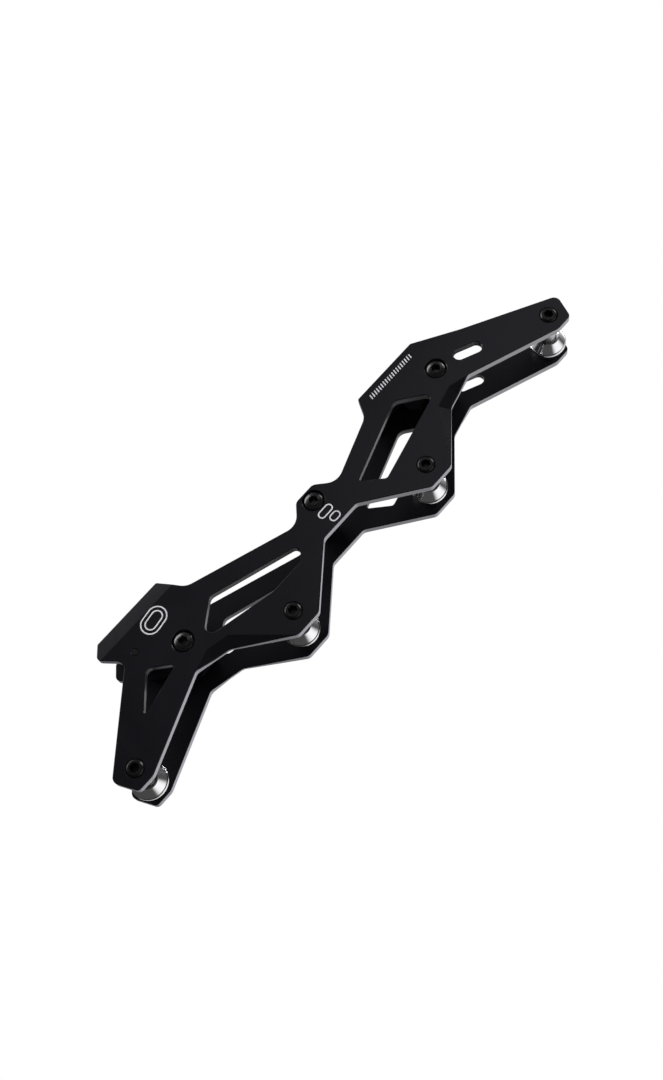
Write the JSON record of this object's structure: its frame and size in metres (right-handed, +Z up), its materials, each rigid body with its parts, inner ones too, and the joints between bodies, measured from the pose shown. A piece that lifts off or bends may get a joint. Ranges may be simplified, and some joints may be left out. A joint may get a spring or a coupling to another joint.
{
  "type": "inline skate frame",
  "caption": "Inline skate frame: truss side plates bolted to stepped heel and toe mount blocks, with withdrawable axles and loose bearing spacers in an open wheel channel.",
  "frame": {"origin": "under the middle of the frame, on the level of the plates' lowest edges", "axes": "+X towards the front axle, +Y to the skater's left, +Z up towards the boot"},
  "size_m": [0.3031, 0.0371, 0.0681],
  "materials": {
    "plate": "satin black anodised, bare machined edges",
    "block": "satin black anodised",
    "bolt": "black oxide",
    "dowel": "ground",
    "axle": "satin",
    "spacer": "turned and polished"
  },
  "bodies": {
    "frame": {"right_side_plate": "plate", "left_side_plate": "plate", "rear_mount_block": "block", "front_mount_block": "block", "middle_spacer": "block", "rear_right_bolt": "bolt", "rear_left_bolt": "bolt", "middle_right_bolt": "bolt", "middle_left_bolt": "bolt", "front_right_bolt": "bolt", "front_left_bolt": "bolt", "rear_right_dowel": "dowel", "rear_left_dowel": "dowel", "front_right_dowel": "dowel", "front_left_dowel": "dowel"},
    "rear_axle_body": {"rear_axle": "axle"},
    "rear_spacer_body": {"rear_bearing_spacer": "spacer"},
    "second_axle_body": {"second_axle": "axle"},
    "second_spacer_body": {"second_bearing_spacer": "spacer"},
    "third_axle_body": {"third_axle": "axle"},
    "third_spacer_body": {"third_bearing_spacer": "spacer"},
    "front_axle_body": {"front_axle": "axle"},
    "front_spacer_body": {"front_bearing_spacer": "spacer"}
  },
  "joints": [
    {"name": "rear_axle_withdraw", "type": "slide", "parent": "frame", "child": "rear_axle_body", "axis": [0, 1, 0], "range_m": [0, 0.03]},
    {"name": "rear_spacer_slide", "type": "slide", "parent": "frame", "child": "rear_spacer_body", "axis": [0, -1, 0], "range_m": [0, 0.0135]},
    {"name": "second_axle_withdraw", "type": "slide", "parent": "frame", "child": "second_axle_body", "axis": [0, 1, 0], "range_m": [0, 0.03]},
    {"name": "second_spacer_slide", "type": "slide", "parent": "frame", "child": "second_spacer_body", "axis": [0, -1, 0], "range_m": [0, 0.0135]},
    {"name": "third_axle_withdraw", "type": "slide", "parent": "frame", "child": "third_axle_body", "axis": [0, 1, 0], "range_m": [0, 0.03]},
    {"name": "third_spacer_slide", "type": "slide", "parent": "frame", "child": "third_spacer_body", "axis": [0, -1, 0], "range_m": [0, 0.0135]},
    {"name": "front_axle_withdraw", "type": "slide", "parent": "frame", "child": "front_axle_body", "axis": [0, 1, 0], "range_m": [0, 0.03]},
    {"name": "front_spacer_slide", "type": "slide", "parent": "frame", "child": "front_spacer_body", "axis": [0, -1, 0], "range_m": [0, 0.0135]}
  ]
}
